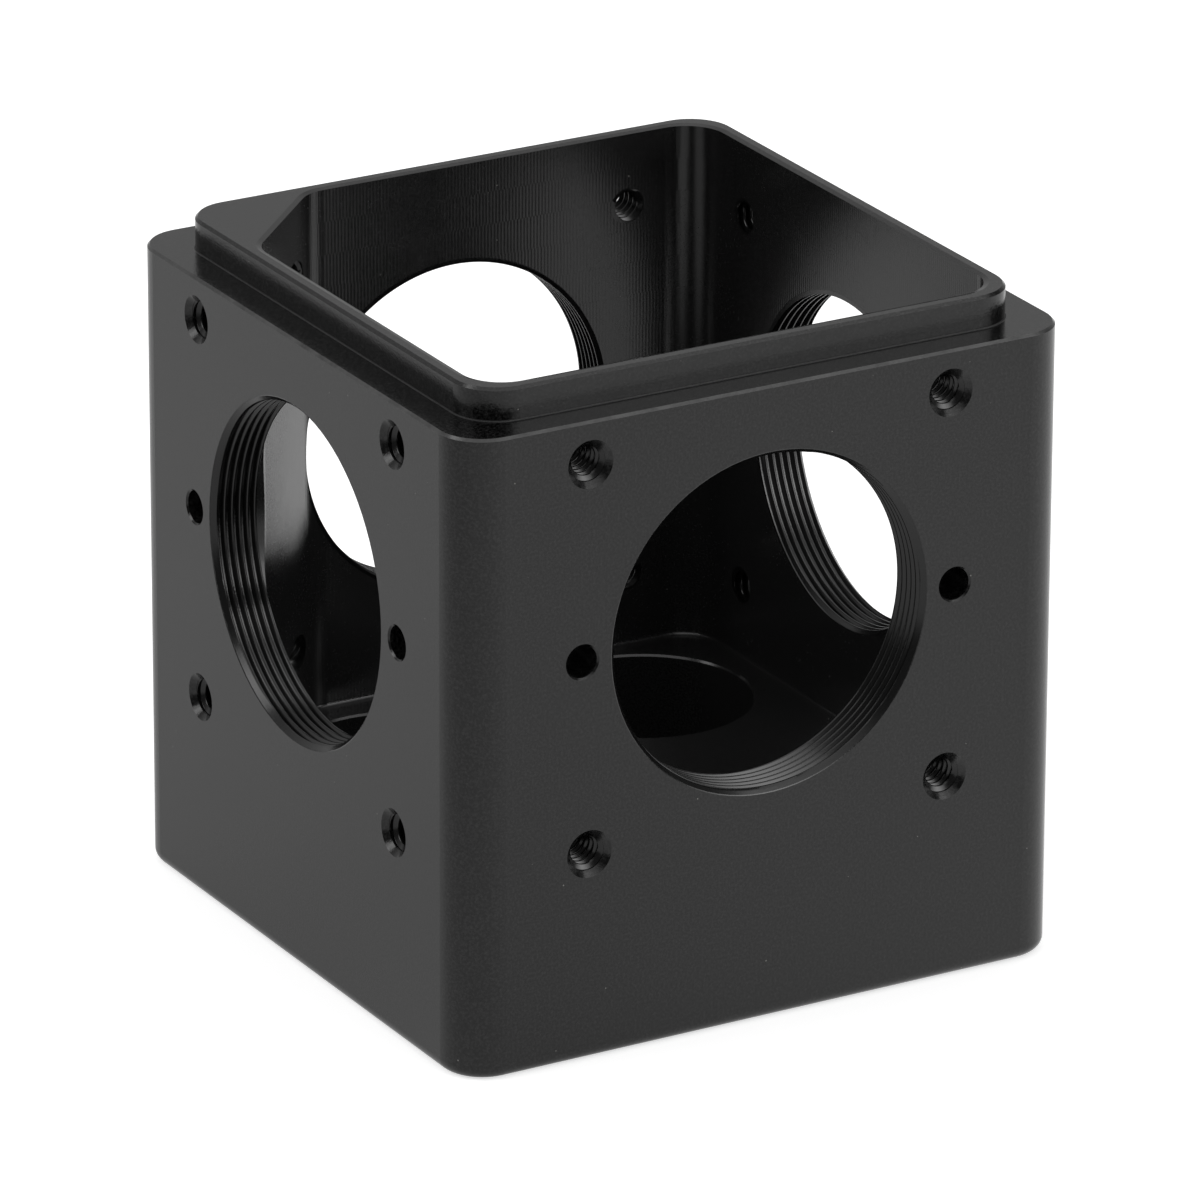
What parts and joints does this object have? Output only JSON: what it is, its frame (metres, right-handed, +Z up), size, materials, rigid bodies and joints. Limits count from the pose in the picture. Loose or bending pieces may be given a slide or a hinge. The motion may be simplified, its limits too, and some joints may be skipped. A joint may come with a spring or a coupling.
{
  "type": "optical cage cube",
  "caption": "Hollow black cube with a threaded round port and tapped rod holes in each side wall, open on top inside a raised rim, that joins optical cage rods and tubes.",
  "frame": {"origin": "centre of the cube's underside", "axes": "+Z up through the open top; -Y out of the front port and -X out of the left port; the pocket's filled corner is at -X +Y"},
  "size_m": [0.0508, 0.0508, 0.0521],
  "materials": {
    "black_anodised_aluminium": "satin black anodised"
  },
  "bodies": {
    "root": {"cube_housing": "black_anodised_aluminium"}
  },
  "joints": []
}
